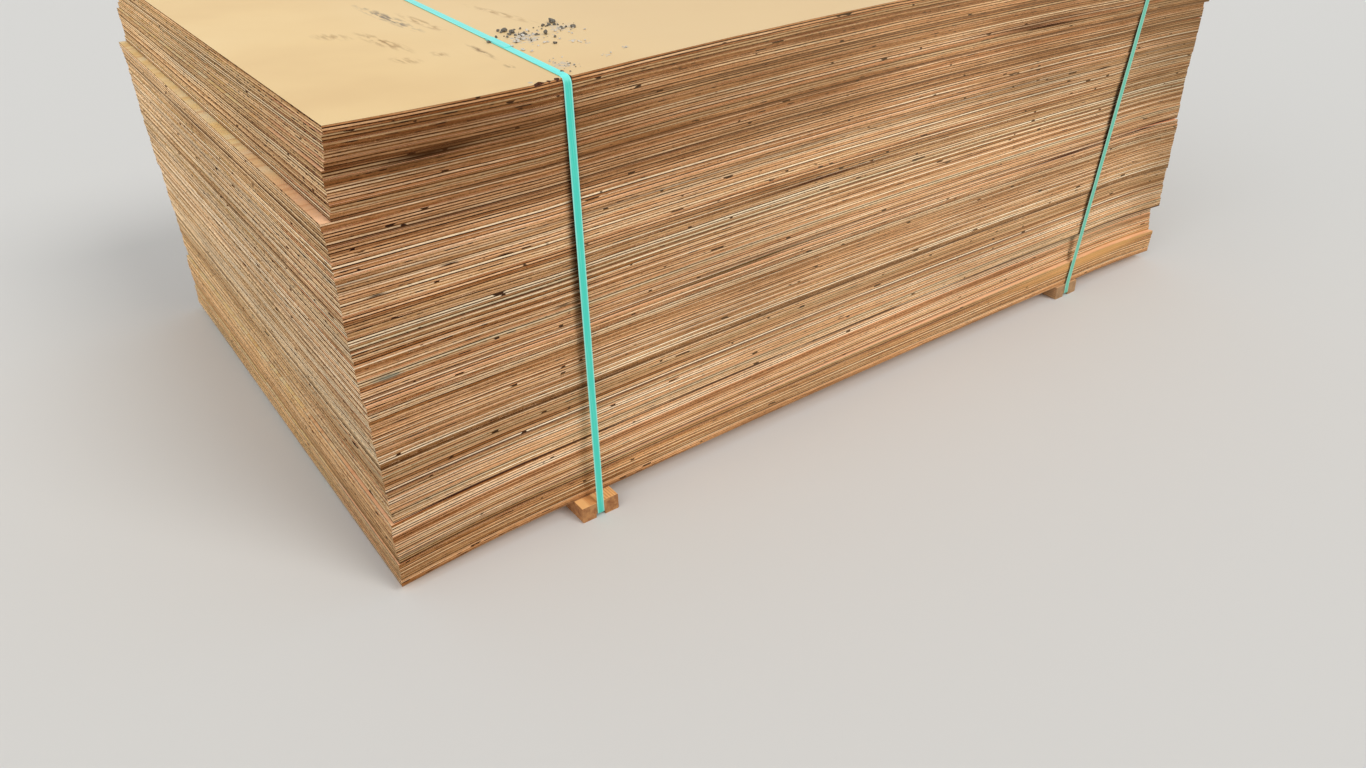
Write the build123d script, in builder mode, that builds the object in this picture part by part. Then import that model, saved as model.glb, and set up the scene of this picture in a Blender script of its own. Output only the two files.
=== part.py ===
"""A strapped stack of plywood sheets on two bolsters, in millimetres.

The sheets lie along X and the bolsters along Y. The origin is on the floor, at the middle of the
whole object. The photographed long side faces -Y and the photographed short side faces -X.
"""

from build123d import *
import math
import os
import random

# Sheets
sheet_length = 2440.0
sheet_width = 1525.0
sheet_thickness = 13.0
sheet_gap = 0.26          # air between two sheets where the bolsters and straps squeeze them
scatter_length = 1.2      # how far a sheet may lie out of line with its lift, lengthwise
scatter_width = 1.0       # the same across the sheets
flat_within = 0.15        # a stretch of a sheet that bends less than this is straight

# Lifts, from the lowest up. A lift is a run of sheets that was set down together.
lift_counts = {
    "first_lift": 5,
    "second_lift": 6,
    "third_lift": 5,
    "fourth_lift": 4,
    "fifth_lift": 11,
    "sixth_lift": 7,
    "seventh_lift": 9,
    "eighth_lift": 5,
    "ninth_lift": 3,
    "tenth_lift": 6,
    "eleventh_lift": 4,
    "top_sheet": 1,
}
# Left end inset of the lowest sheet and the top one, front edge set back at the left end, and front
# edge set back at the right end for the lowest sheet and the top one
lift_places = {
    "first_lift": ((0.0, 4.5), 1.5, (1.5, 1.5)),
    "second_lift": ((3.5, 4.5), 2.0, (17.0, 24.0)),
    "third_lift": ((10.0, 9.5), 1.5, (3.5, 4.5)),
    "fourth_lift": ((9.5, 9.0), 1.5, (6.0, 5.5)),
    "fifth_lift": ((8.5, 6.0), 1.5, (4.0, 4.5)),
    "sixth_lift": ((4.5, 3.0), 1.5, (6.5, 8.5)),
    "seventh_lift": ((2.5, 4.0), 2.0, (9.0, 6.5)),
    "eighth_lift": ((4.0, 4.0), 1.5, (6.0, 6.0)),
    "ninth_lift": ((3.0, 1.5), 1.5, (4.0, 4.5)),
    "tenth_lift": ((19.0, 20.5), 1.5, (2.0, 2.0)),
    "eleventh_lift": ((26.0, 31.5), 1.5, (1.5, 1.5)),
    "top_sheet": ((34.5, 34.5), 1.5, (1.5, 1.5)),
}

# Shape of the stack: it bends over the bolsters and is pinched by the straps
left_drops = (19.0, -7.0)     # left end below its seat on the bolster, lowest sheet and top sheet
right_drops = (9.0, 9.0)      # right end below its seat, lowest sheet and top sheet
left_openings = {"second_lift": 2.0}       # air above a lift at the left end, where the stack gapes
right_openings = {"fifth_lift": 4.0, "eighth_lift": 2.0}   # the same at the right end
middle_rises = (6.0, 15.5)    # middle above the seats, lowest sheet and top sheet

# Bolsters
bolster_width = 89.0
bolster_height = 38.0
bolster_spare = 5.0       # a bolster is this much longer than the sheets are wide
bolster_edge = 3.0        # radius of the planed long edges
left_bolster_inset = 432.0    # from the stack's left edge to the bolster's middle
right_bolster_inset = 404.0   # from the stack's right edge
left_bolster_overhang = 30.0  # how far the front end stands out of the sheets' front line
right_bolster_overhang = 2.5
strap_groove_width = 22.0
strap_groove_depth = 10.0

# Straps
strap_width = 16.0
strap_thickness = 0.9
strap_clearance = 0.5     # between a strap and what it goes round
strap_bend = 0.8          # inside radius of the folds round square edges
sharp_turn = 20.0         # degrees: a strap folds round a sharper turn, and a slighter one is a crease
fold_steps = 3
left_strap_insets = (432.0, 455.0, 540.0)      # at the floor, at the top front and top back edges
right_strap_insets = (404.0, 271.0, 240.0)     # the same, from the stack's right edge
weld_front = 240.0        # from the sheets' front line to the near end of the welded overlap
weld_length = 85.0
weld_step = 15.0          # the band climbs onto its other end over this length
weld_gap = 0.1            # between the two layers of the overlap, outside the fused part
fused_length = 30.0
weld_depth = 0.3          # how deep the fused part reaches into each layer
weld_skew = 2.0           # how far the upper end of the band lies beside the lower one


def part_way(ends, share):
    """A value that lies between two others, by its share of the way."""
    return ends[0] + (ends[1] - ends[0]) * share


def scattered_sheets():
    """Each sheet's lift, left end inset and front set-back at both ends, from the lowest up."""
    scatter = random.Random(5)
    placed = []
    for name, count in lift_counts.items():
        insets, left_set_back, right_set_backs = lift_places[name]
        in_lift = round(count)
        for number in range(in_lift):
            share = number / max(in_lift - 1, 1)
            along = scatter.uniform(-scatter_length, scatter_length)
            across = scatter.uniform(-scatter_width, scatter_width)
            inset = part_way(insets, share) + along
            placed.append((name, inset, left_set_back + across, part_way(right_set_backs, share) + across))
    return placed


# Values that follow from these
sheets = scattered_sheets()
sheet_count = len(sheets)
least_inset = min(sheet[1] for sheet in sheets)
widest_inset = max(sheet[1] for sheet in sheets)
deepest_set_back = max(max(sheet[2:]) for sheet in sheets)
bolster_length = sheet_width + bolster_spare
front_reach = max(left_bolster_overhang, right_bolster_overhang) + strap_clearance + strap_thickness
left_edge = -(sheet_length + least_inset + widest_inset) / 2
right_edge = left_edge + sheet_length
front_line = -(sheet_width + deepest_set_back - front_reach) / 2
back_line = front_line + sheet_width
left_bolster_x = left_edge + left_bolster_inset
right_bolster_x = right_edge - right_bolster_inset
left_support = left_bolster_x - bolster_width / 2
right_support = right_bolster_x + bolster_width / 2
first_seat = bolster_height + sheet_gap
pitch = sheet_thickness + sheet_gap


def up_the_stack(number, lowest_and_top):
    """A value for one sheet, between those of the lowest sheet and the top one."""
    return part_way(lowest_and_top, number / (sheet_count - 1))


def seat(number):
    """Height of a sheet's underside where the bolsters carry the stack."""
    return first_seat + number * pitch


def end_drop(number, drops, openings):
    """How far a sheet's end hangs below its seat, with the openings above it and its lift."""
    lifts_above = {sheet[0] for sheet in sheets[number:]}
    return up_the_stack(number, drops) + sum(openings[lift] for lift in openings if lift in lifts_above)


def underside(number, x):
    """Height of a sheet's underside at x."""
    if x < left_support:
        reach = (left_support - x) / (left_support - left_edge)
        return seat(number) - end_drop(number, left_drops, left_openings) * reach**2
    if x > right_support:
        reach = (x - right_support) / (right_edge - right_support)
        return seat(number) - end_drop(number, right_drops, right_openings) * reach**2
    along = (x - left_support) / (right_support - left_support)
    return seat(number) + 4 * up_the_stack(number, middle_rises) * along * (1 - along)


def bend(start, middle, end):
    """One stretch of a sheet's outline: an arc, or a straight line where it hardly bends."""
    if abs(middle[1] - (start[1] + end[1]) / 2) < flat_within:
        Line(start, end)
    else:
        ThreePointArc(start, middle, end)


def sheet_solid(number, inset, left_set_back, right_set_back):
    """One sheet: its bent side view carried across the stack, between its two long edges."""
    slope = (right_set_back - left_set_back) / sheet_length
    left_end = left_edge + inset
    right_end = left_end + sheet_length
    middle_x = (left_end + right_end) / 2
    middle_y = (front_line + back_line + left_set_back + right_set_back) / 2
    stops = (left_end, left_support, right_support, right_end)
    with BuildPart() as sheet:
        with BuildSketch(Plane.XZ.offset(-middle_y)):
            with BuildLine():
                for height in (0, sheet_thickness):
                    for start, end in zip(stops[:-1], stops[1:]):
                        stations = (start, (start + end) / 2, end)
                        bend(*[(x, underside(number, x) + height) for x in stations])
                for x in (left_end, right_end):
                    Line((x, underside(number, x)), (x, underside(number, x) + sheet_thickness))
            make_face()
        extrude(amount=sheet_width, both=True)
        for side in (-1, 1):
            long_edge = Plane(
                origin=(middle_x, middle_y + side * sheet_width / 2, 0),
                z_dir=(-side * slope, side, 0),
            )
            split(bisect_by=long_edge, keep=Keep.BOTTOM)
    return sheet.part


def build_lifts():
    """The sheets, each lift as one node."""
    for name in lift_counts:
        solids = [
            sheet_solid(number, *sheet[1:])
            for number, sheet in enumerate(sheets)
            if sheet[0] == name
        ]
        lift = Compound(children=solids) if len(solids) > 1 else solids[0]
        lift.label = name
        export_step(lift, f"parts/{name}.step")


def build_bolster(name, middle_x, overhang):
    """A planed 2 by 4 laid flat, with a groove along its underside that the strap lies in."""
    front_end = front_line - overhang
    with BuildPart() as bolster:
        with BuildSketch(Plane.XZ.offset(-front_end)):
            with Locations((middle_x, bolster_height / 2)):
                RectangleRounded(bolster_width, bolster_height, bolster_edge)
            with Locations((middle_x, strap_groove_depth / 2)):
                Rectangle(strap_groove_width, strap_groove_depth, mode=Mode.SUBTRACT)
        extrude(amount=-bolster_length)
    bolster.part.label = name
    export_step(bolster.part, f"parts/{name}.step")


def long_edge_y(number, x, side):
    """Where a sheet's front edge (side -1) or back edge (side 1) lies at x."""
    _, inset, left_set_back, right_set_back = sheets[number]
    along = (x - left_edge - inset) / sheet_length
    line = front_line if side < 0 else back_line
    return line + left_set_back + along * (right_set_back - left_set_back)


def turns_inward(first, second, third, side):
    """Whether a line up the front or the back bends in towards the stack at its second point."""
    cross = (second[0] - first[0]) * (third[1] - second[1])
    cross -= (second[1] - first[1]) * (third[0] - second[0])
    return side * cross > 0


def taut_corners(side, bolster_end, bottom_x, top_x):
    """What a tight strap touches on its way up the front or the back, as places on its inner line."""
    top_z = underside(sheet_count - 1, top_x) + sheet_thickness + strap_clearance

    def run_x(z):
        return bottom_x + (top_x - bottom_x) * (z - bolster_height) / (top_z - bolster_height)

    past = [(bolster_end, strap_groove_depth), (bolster_end, bolster_height)]
    for number in range(sheet_count):
        x = run_x(seat(number))
        edge_y = long_edge_y(number, x, side)
        past += [(edge_y, underside(number, x)), (edge_y, underside(number, x) + sheet_thickness)]
    touched = []
    for point in past:
        while len(touched) > 1 and not turns_inward(*touched[-2:], point, side):
            touched.pop()
        touched.append(point)
    places = [Vector(run_x(z), y + side * strap_clearance, z) for y, z in touched[1:-1]]
    lowest = Vector(bottom_x, bolster_end + side * strap_clearance, strap_groove_depth - strap_clearance)
    highest = Vector(top_x, touched[-1][0] + side * strap_clearance, top_z)
    return [lowest, *places, highest]


def strap_route(bottom_x, front_x, back_x, overhang):
    """Corners of a strap's inner line.

    It starts on the top, under the weld, and goes down the front, back along the groove under the
    bolster, up the back, and over the top to the weld.
    """
    bolster_front = front_line - overhang
    front_corners = taut_corners(-1, bolster_front, bottom_x, front_x)
    back_corners = taut_corners(1, bolster_front + bolster_length, bottom_x, back_x)
    top_front, top_back = front_corners[-1], back_corners[-1]

    def on_top(behind_front, layer_height, beside):
        along = behind_front / (top_back.Y - top_front.Y)
        return top_front + (top_back - top_front) * along + Vector(beside, 0, layer_height)

    weld_back = weld_front + weld_length
    layer = strap_thickness + weld_gap
    return [
        on_top(weld_back, 0, 0),
        *reversed(front_corners),
        *back_corners,
        on_top(weld_back + weld_step, 0, weld_skew),
        on_top(weld_back, layer, weld_skew),
        on_top(weld_front, layer, weld_skew),
    ]


def band_section(place, heading):
    """The band's rectangle, along X and square to its way in side view, outside its inner line."""
    along = Vector(0, heading.Y, heading.Z).normalized()
    outward = along.cross(Vector(1, 0, 0))
    middle = place + outward * (strap_thickness / 2)
    with BuildSketch(Plane(origin=middle, x_dir=(1, 0, 0), z_dir=along)) as section:
        Rectangle(strap_width, strap_thickness)
    return section.sketch


def fold_sections(corner, heading_in, heading_out, turn):
    """The band's rectangles round a square edge, as it bends over it."""
    way_in = Vector(0, heading_in.Y, heading_in.Z)
    inward = Vector(0, heading_out.Y, heading_out.Z) - way_in * math.cos(turn)
    inward = inward.normalized()
    reach = strap_bend * math.tan(turn / 2)
    start, end = corner - heading_in * reach, corner + heading_out * reach
    sections = []
    for step in range(fold_steps + 1):
        done = step / fold_steps
        sine, cosine = math.sin(turn * done), math.cos(turn * done)
        place = start + way_in * (strap_bend * sine) + inward * (strap_bend * (1 - cosine))
        place.X = start.X + (end.X - start.X) * done
        sections.append(band_section(place, way_in * cosine + inward * sine))
    return sections


def strap_sections(route):
    """The band's rectangles: one at each end and each crease, and a few round each fold."""
    runs = [end - start for start, end in zip(route[:-1], route[1:])]
    headings = [run * (1 / math.hypot(run.Y, run.Z)) for run in runs]
    sections = [band_section(route[0], headings[0])]
    for corner, heading_in, heading_out in zip(route[1:-1], headings[:-1], headings[1:]):
        turn = math.acos(heading_in.Y * heading_out.Y + heading_in.Z * heading_out.Z)
        if turn > math.radians(sharp_turn):
            sections += fold_sections(corner, heading_in, heading_out, turn)
        else:
            sections.append(band_section(corner, heading_in + heading_out))
    return sections + [band_section(route[-1], headings[-1])]


def build_strap(name, places, overhang):
    """A flat band round the stack, its two ends lapped and welded on the top."""
    route = strap_route(*places, overhang)
    upper_end, lap_start = route[-1], route[-2]
    weld_middle = (upper_end + lap_start) / 2
    with BuildPart() as strap:
        loft(strap_sections(route), ruled=True)
        with BuildSketch(Plane.XY.offset(weld_middle.Z + weld_depth)):
            with Locations((weld_middle.X - weld_skew / 2, weld_middle.Y)):
                Rectangle(strap_width - weld_skew, fused_length)
        extrude(amount=-weld_gap - 2 * weld_depth)
    strap.part.label = name
    export_step(strap.part, f"parts/{name}.step")


os.makedirs("parts", exist_ok=True)
build_lifts()
build_bolster("left_bolster", left_bolster_x, left_bolster_overhang)
build_bolster("right_bolster", right_bolster_x, right_bolster_overhang)
build_strap("left_strap", [left_edge + inset for inset in left_strap_insets], left_bolster_overhang)
build_strap("right_strap", [right_edge - inset for inset in right_strap_insets], right_bolster_overhang)
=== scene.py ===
import math
from random import Random

import bpy
from mathutils import Matrix, Vector
from mathutils.bvhtree import BVHTree


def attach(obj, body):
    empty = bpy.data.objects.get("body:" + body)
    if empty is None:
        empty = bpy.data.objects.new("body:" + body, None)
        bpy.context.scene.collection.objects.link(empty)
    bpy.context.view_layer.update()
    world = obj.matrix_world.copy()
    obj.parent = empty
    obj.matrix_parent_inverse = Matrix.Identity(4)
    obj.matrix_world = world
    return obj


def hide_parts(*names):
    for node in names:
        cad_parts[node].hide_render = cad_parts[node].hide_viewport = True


MM = 0.001
SHEET_THICKNESS = 13 * MM
PLIES = 5
STACK_HEIGHT = 930 * MM
TOP_FACE = 920 * MM           # z of the top sheet's upper face by the marks on it
FRONT = -757 * MM             # y of the sheets' front edges
BOLSTER_TOP = 37.6 * MM       # z where the bolsters' clean upper faces start
EASED_ARRIS = 0.4 * MM
LIFTS = ("first_lift", "second_lift", "third_lift", "fourth_lift", "fifth_lift", "sixth_lift",
         "seventh_lift", "eighth_lift", "ninth_lift", "tenth_lift", "eleventh_lift")
# Strength of the painted shade line under a lift's lowest sheet, for the shade in the gap below it
GAP_SHADE_LINES = {"second_lift": 0.5, "third_lift": 1.0, "top_sheet": 0.0}
OTHER_GAP_SHADE_LINES = 0.35
STRAP_THICKNESS = 0.9 * MM
TIGHT_BEND = 1.7 * MM         # outside radius of a strap's folds as the frame has them
ROUND_BEND = 14 * MM          # the same over the top edges, where the straps have sunk in
BEND_STEP = math.radians(30)  # from one corner of a fold to the next

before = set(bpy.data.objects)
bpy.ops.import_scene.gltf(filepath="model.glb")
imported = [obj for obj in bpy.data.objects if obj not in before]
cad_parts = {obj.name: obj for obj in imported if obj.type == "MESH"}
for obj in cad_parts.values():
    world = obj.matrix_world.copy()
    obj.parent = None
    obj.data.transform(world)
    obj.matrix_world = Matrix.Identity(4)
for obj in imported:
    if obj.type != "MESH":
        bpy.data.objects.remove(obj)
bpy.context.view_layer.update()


# The view: a phone camera held a little above the stack, near its front left corner.

def set_up_camera():
    heading, dip, tilt = (math.radians(angle) for angle in (35.018, 32.003, -1.650))
    ahead = Vector((math.sin(heading) * math.cos(dip), math.cos(heading) * math.cos(dip), -math.sin(dip)))
    level = Vector((math.cos(heading), -math.sin(heading), 0))
    upright = level.cross(ahead)
    right = level * math.cos(tilt) + upright * math.sin(tilt)
    up = upright * math.cos(tilt) - level * math.sin(tilt)
    bpy.ops.object.camera_add()
    camera = bpy.context.object
    camera.data.sensor_fit = "HORIZONTAL"
    camera.data.sensor_width = 36
    camera.data.lens = 27.0
    camera.data.clip_end = 200
    place = Matrix((right, up, -ahead)).transposed().to_4x4()
    place.translation = Vector((-1632.7, -2285.7, 1386.3)) * MM
    camera.matrix_world = place
    bpy.context.scene.camera = camera


# Materials

def linear(hex_colour, alpha=1.0):
    """Turns an sRGB hex colour to Blender's linear values."""
    channels = [int(hex_colour[start:start + 2], 16) / 255 for start in (1, 3, 5)]
    return [c / 12.92 if c <= 0.04045 else ((c + 0.055) / 1.055) ** 2.4 for c in channels] + [alpha]


def cells(size):
    """How many cells of this size in millimetres a pattern has in a metre."""
    return 1 / (size * MM)


def new_material(name):
    material = bpy.data.materials.new(name)
    material.use_nodes = True
    material.node_tree.nodes.clear()
    return material, material.node_tree


def node(tree, kind, inputs=None, **settings):
    """Adds a node with its settings, its values and its links."""
    made = tree.nodes.new("ShaderNode" + kind)
    for name, value in settings.items():
        setattr(made, name, value)
    for socket, value in (inputs or {}).items():
        if isinstance(value, bpy.types.NodeSocket):
            tree.links.new(value, made.inputs[socket])
        else:
            made.inputs[socket].default_value = value
    return made


def set_stops(made, stops, easing="LINEAR"):
    """Gives a colour ramp its stops and returns its colour."""
    ramp = made.color_ramp
    ramp.interpolation = easing
    while len(ramp.elements) < len(stops):
        ramp.elements.new(0.5)
    for element, (position, colour) in zip(ramp.elements, stops):
        element.position = position
        element.color = linear(colour)
    return made.outputs["Color"]


def finish_surface(tree, colour, roughness, bump_height, bump_depth, **shader_values):
    """Joins colour, roughness and relief to the shader. Constants sit on the shader's own sockets."""
    bump = node(tree, "Bump", {"Height": bump_height, "Strength": 1.0, "Distance": bump_depth})
    inputs = {"Base Color": colour, "Roughness": roughness, "Normal": bump.outputs["Normal"]}
    inputs.update(shader_values)
    shader = node(tree, "BsdfPrincipled", inputs)
    node(tree, "OutputMaterial", {"Surface": shader.outputs["BSDF"]})


def lay_plies(tree, run, height, sheet, dark_first, core_thinning):
    """Which ply of a sheet a point lies in, how far up in that ply, and whether its grain meets the edge
    end on. Also gives the noise by which the plies wander."""
    # Plies wander by up to half of their 2.6 mm, over some 300 mm of length.
    wander_place = node(tree, "CombineXYZ", {"X": run, "Y": sheet})
    wander_place = node(tree, "VectorMath", {0: wander_place.outputs[0], 1: (cells(303), 7.31, 1.0)},
                        operation="MULTIPLY")
    wander = node(tree, "TexNoise", {"Vector": wander_place.outputs[0], "Scale": 1.0,
                                     "Detail": 2.0}).outputs["Fac"]
    sway = node(tree, "MapRange", {"Value": wander, "From Min": 0.2, "From Max": 0.8,
                                   "To Min": -0.45, "To Max": 0.45})
    level = node(tree, "Math", {0: height, 1: float(PLIES), 2: sway.outputs[0]},
                 operation="MULTIPLY_ADD").outputs[0]
    # The crossbands and the other plies differ in thickness.
    turn = node(tree, "Math", {0: level, 1: math.pi, 2: -1.5 * math.pi}, operation="MULTIPLY_ADD")
    swell = node(tree, "Math", {0: turn.outputs[0]}, operation="SINE")
    level = node(tree, "Math", {0: swell.outputs[0], 1: core_thinning, 2: level}, operation="MULTIPLY_ADD")
    level = node(tree, "Clamp", {"Value": level.outputs[0], "Min": 0.001, "Max": PLIES - 0.001}).outputs[0]
    ply = node(tree, "Math", {0: level}, operation="FLOOR").outputs[0]
    within = node(tree, "Math", {0: level}, operation="FRACT").outputs[0]
    crossing = node(tree, "Math", {0: ply, 1: 2.0}, operation="MODULO").outputs[0]
    if dark_first:
        crossing = node(tree, "Math", {0: 1.0, 1: crossing}, operation="SUBTRACT").outputs[0]
    return wander, ply, within, crossing


def colour_plies(tree, grain, ply, sheet, crossing, light_plies, dark_plies):
    """Wood of the plies: pale and streaked where the grain runs along the edge, and darker and rough
    where the saw crosses it. Also gives the patterns that the damage and the relief follow."""
    # Each ply of each sheet has its own shade of wood.
    own_place = node(tree, "CombineXYZ", {"X": ply, "Y": sheet, "Z": 0.37})
    own = node(tree, "TexWhiteNoise", {"Vector": own_place.outputs[0]}, noise_dimensions="3D")
    # Growth streaks, 125 mm long and 0.7 mm high.
    streak_place = node(tree, "VectorMath", {0: grain, 1: (cells(125), 3.7, cells(0.7143))},
                        operation="MULTIPLY")
    streak = node(tree, "TexNoise", {"Vector": streak_place.outputs[0], "Scale": 1.0, "Detail": 4.0,
                                     "Roughness": 0.6}).outputs["Fac"]
    # Bands of darker and paler wood along one ply, some 400 mm long.
    band_place = node(tree, "VectorMath", {0: grain, 1: (cells(417), 2.9, 0.0)}, operation="MULTIPLY")
    band = node(tree, "TexNoise", {"Vector": band_place.outputs[0], "Scale": 1.0, "Detail": 4.0,
                                   "Roughness": 0.6}).outputs["Fac"]
    # Lathe checks and pores of the end grain, 3 mm by 1 mm, coarser than the real 0.5 mm to show.
    check_place = node(tree, "VectorMath", {0: grain, 1: (cells(3.0303), 5.3, cells(1.1111))},
                       operation="MULTIPLY")
    checks = node(tree, "TexNoise", {"Vector": check_place.outputs[0], "Scale": 1.0, "Detail": 3.0,
                                     "Roughness": 0.65}).outputs["Fac"]

    shade = node(tree, "Math", {0: streak, 1: own.outputs["Value"]}, operation="ADD")
    shade = node(tree, "Math", {0: band, 1: 1.8, 2: shade.outputs[0]}, operation="MULTIPLY_ADD")
    shade = node(tree, "MapRange", {"Value": shade.outputs[0], "From Min": 1.35, "From Max": 2.45}).outputs[0]
    pale = set_stops(node(tree, "ValToRGB", {"Fac": shade}), light_plies)
    rough = node(tree, "Math", {0: checks, 1: 1.5, 2: shade}, operation="MULTIPLY_ADD")
    rough = node(tree, "MapRange", {"Value": rough.outputs[0], "From Min": 0.55, "From Max": 1.85})
    dark = set_stops(node(tree, "ValToRGB", {"Fac": rough.outputs[0]}), dark_plies)
    wood = node(tree, "Mix", {"Factor": crossing, 6: pale, 7: dark}, data_type="RGBA").outputs[2]
    return wood, streak, band, checks


def open_plies(tree, wood, grain, within, crossing, glue, pitting):
    """Glue lines, and the voids and pits of a sawn edge. Also gives where wood is gone."""
    # Glue lines are 0.15 mm in life and are drawn 0.3 mm high so that they show.
    other_side = node(tree, "Math", {0: 1.0, 1: within}, operation="SUBTRACT")
    nearest = node(tree, "Math", {0: within, 1: other_side.outputs[0]}, operation="MINIMUM")
    line = node(tree, "MapRange", {"Value": nearest.outputs[0], "From Min": 0.02, "From Max": 0.12,
                                   "To Min": 0.35, "To Max": 0.0})
    wood = node(tree, "Mix", {"Factor": line.outputs[0], 6: wood, 7: linear(glue)},
                data_type="RGBA").outputs[2]
    # Where veneer is missing or crushed: dark dashes, 25 to 60 mm long.
    void_place = node(tree, "VectorMath", {0: grain, 1: (cells(41.667), 11.9, cells(25))},
                      operation="MULTIPLY")
    voids = node(tree, "TexNoise", {"Vector": void_place.outputs[0], "Scale": 1.0,
                                    "Detail": 1.0}).outputs["Fac"]
    # Pits torn out of the end grain by the saw, 8 to 16 mm long.
    pit_place = node(tree, "VectorMath", {0: grain, 1: (cells(13.333), 17.3, cells(6.25))},
                     operation="MULTIPLY")
    pits = node(tree, "TexNoise", {"Vector": pit_place.outputs[0], "Scale": 1.0,
                                   "Detail": 2.0}).outputs["Fac"]

    fewest, deepest = pitting
    crushed = node(tree, "MapRange", {"Value": voids, "From Min": 0.655, "From Max": 0.70})
    pitted = node(tree, "MapRange", {"Value": pits, "From Min": fewest, "From Max": fewest + 0.04,
                                     "To Max": deepest})
    gone = node(tree, "Math", {0: crushed.outputs[0], 1: pitted.outputs[0]}, operation="MAXIMUM")
    gone = node(tree, "Math", {0: gone.outputs[0], 1: crossing}, operation="MULTIPLY")
    hole = node(tree, "MapRange", {"Value": voids, "From Min": 0.725, "From Max": 0.745})
    gone = node(tree, "Math", {0: gone.outputs[0], 1: hole.outputs[0]}, operation="MAXIMUM").outputs[0]
    wood = node(tree, "Mix", {"Factor": gone, 6: wood, 7: linear("#2A1006")}, data_type="RGBA").outputs[2]
    return wood, gone


def arrises_worn_and_shaded(tree, wood, height, wander, band, glue):
    """Painted shade in the gaps: dark lines under some lifts, and arrises darkened on every sheet, partly as
    crushed and dirty wood and partly as painted shade between the sheets.
    """
    # Painted shade: some lifts have a dark reddish line under their first sheet, for the shade in the gap
    # between them and the lift below.
    gap_shade = node(tree, "Attribute", attribute_name="gap_shade_line").outputs["Fac"]
    reach = node(tree, "MapRange", {"Value": wander, "From Min": 0.35, "From Max": 0.6,
                                    "To Min": 0.25, "To Max": 0.60})
    under = node(tree, "MapRange", {"Value": height, "From Min": 0.0, "From Max": reach.outputs[0],
                                    "To Min": 2.0, "To Max": 0.0})
    under = node(tree, "Math", {0: under.outputs[0], 1: gap_shade}, operation="MULTIPLY", use_clamp=True)
    wood = node(tree, "Mix", {"Factor": under.outputs[0], 6: wood, 7: linear("#351004")},
                data_type="RGBA").outputs[2]
    # The arrises are darkened, partly as worn wood and partly as painted shade of the gaps between sheets,
    # more in some places than in others.
    top_side = node(tree, "Math", {0: 1.0, 1: height}, operation="SUBTRACT")
    arris = node(tree, "Math", {0: height, 1: top_side.outputs[0]}, operation="MINIMUM")
    arris_wear_and_shade_reach = node(tree, "MapRange", {"Value": band, "From Min": 0.35, "From Max": 0.7,
                                    "To Min": 0.02, "To Max": 0.10})
    crushed = node(tree, "MapRange", {"Value": arris.outputs[0], "From Min": 0.0,
                                      "From Max": arris_wear_and_shade_reach.outputs[0], "To Min": 0.9, "To Max": 0.0})
    return node(tree, "Mix", {"Factor": crushed.outputs[0], 6: wood, 7: linear(glue)},
                data_type="RGBA").outputs[2]


def weather_sheets(tree, wood, place, run, sheet, sheet_tones, tone_by_height, bleaching, flecking):
    """What sets sheets, batches and places apart: logs, sun and dirt."""
    # Each sheet is cut from logs of its own: yellower, pinker or greyer.
    log = node(tree, "TexWhiteNoise", {"W": sheet}, noise_dimensions="1D")
    log_tone = set_stops(node(tree, "ValToRGB", {"Fac": log.outputs["Value"]}), sheet_tones)
    wood = node(tree, "Mix", {"Factor": 1.0, 6: wood, 7: log_tone}, data_type="RGBA", blend_type="MULTIPLY")
    # Lifts came from different batches: the wood's tone changes up the stack.
    up = node(tree, "SeparateXYZ", {"Vector": place}).outputs["Z"]
    level = node(tree, "MapRange", {"Value": up, "From Min": 0.0, "From Max": STACK_HEIGHT})
    tone = set_stops(node(tree, "ValToRGB", {"Fac": level.outputs[0]}), tone_by_height)
    wood = node(tree, "Mix", {"Factor": 1.0, 6: wood.outputs[2], 7: tone}, data_type="RGBA",
                blend_type="MULTIPLY")
    # The sun has bleached one end of the face more than the other.
    start, end, bleached, most, brighter = bleaching
    faded = node(tree, "MapRange", {"Value": run, "From Min": start, "From Max": end, "To Max": most})
    wood = node(tree, "Mix", {"Factor": faded.outputs[0], 6: wood.outputs[2], 7: linear(bleached)},
                data_type="RGBA")
    sunlit = node(tree, "MapRange", {"Value": run, "From Min": start, "From Max": end,
                                     "To Min": 1.0, "To Max": brighter})
    wood = node(tree, "VectorMath", {0: wood.outputs[2], 1: sunlit.outputs[0]}, operation="MULTIPLY")
    # Paler and darker patches, half a metre long and 110 mm high.
    patch_place = node(tree, "VectorMath", {0: place, 1: (cells(476), cells(476), cells(111))},
                       operation="MULTIPLY")
    patch = node(tree, "TexNoise", {"Vector": patch_place.outputs[0], "Scale": 1.0, "Detail": 2.0})
    patch = node(tree, "MapRange", {"Value": patch.outputs["Fac"], "From Min": 0.3, "From Max": 0.7,
                                    "To Min": 0.93, "To Max": 1.21})
    wood = node(tree, "VectorMath", {0: wood.outputs[0], 1: patch.outputs[0]}, operation="MULTIPLY")
    # Dirt caught in the rough saw cut, in flecks 8 mm by 2.5 mm.
    fleck_place = node(tree, "VectorMath", {0: place, 1: (cells(8), cells(8), cells(2.5))},
                       operation="MULTIPLY")
    fleck = node(tree, "TexNoise", {"Vector": fleck_place.outputs[0], "Scale": 1.0, "Detail": 2.0,
                                    "Roughness": 0.6})
    fleck = node(tree, "MapRange", {"Value": fleck.outputs["Fac"], "From Min": 0.30, "From Max": 0.55,
                                    "To Min": 1.0 - flecking, "To Max": 1.0 + 0.2 * flecking})
    return node(tree, "VectorMath", {0: wood.outputs[0], 1: fleck.outputs[0]},
                operation="MULTIPLY").outputs[0]


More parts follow.
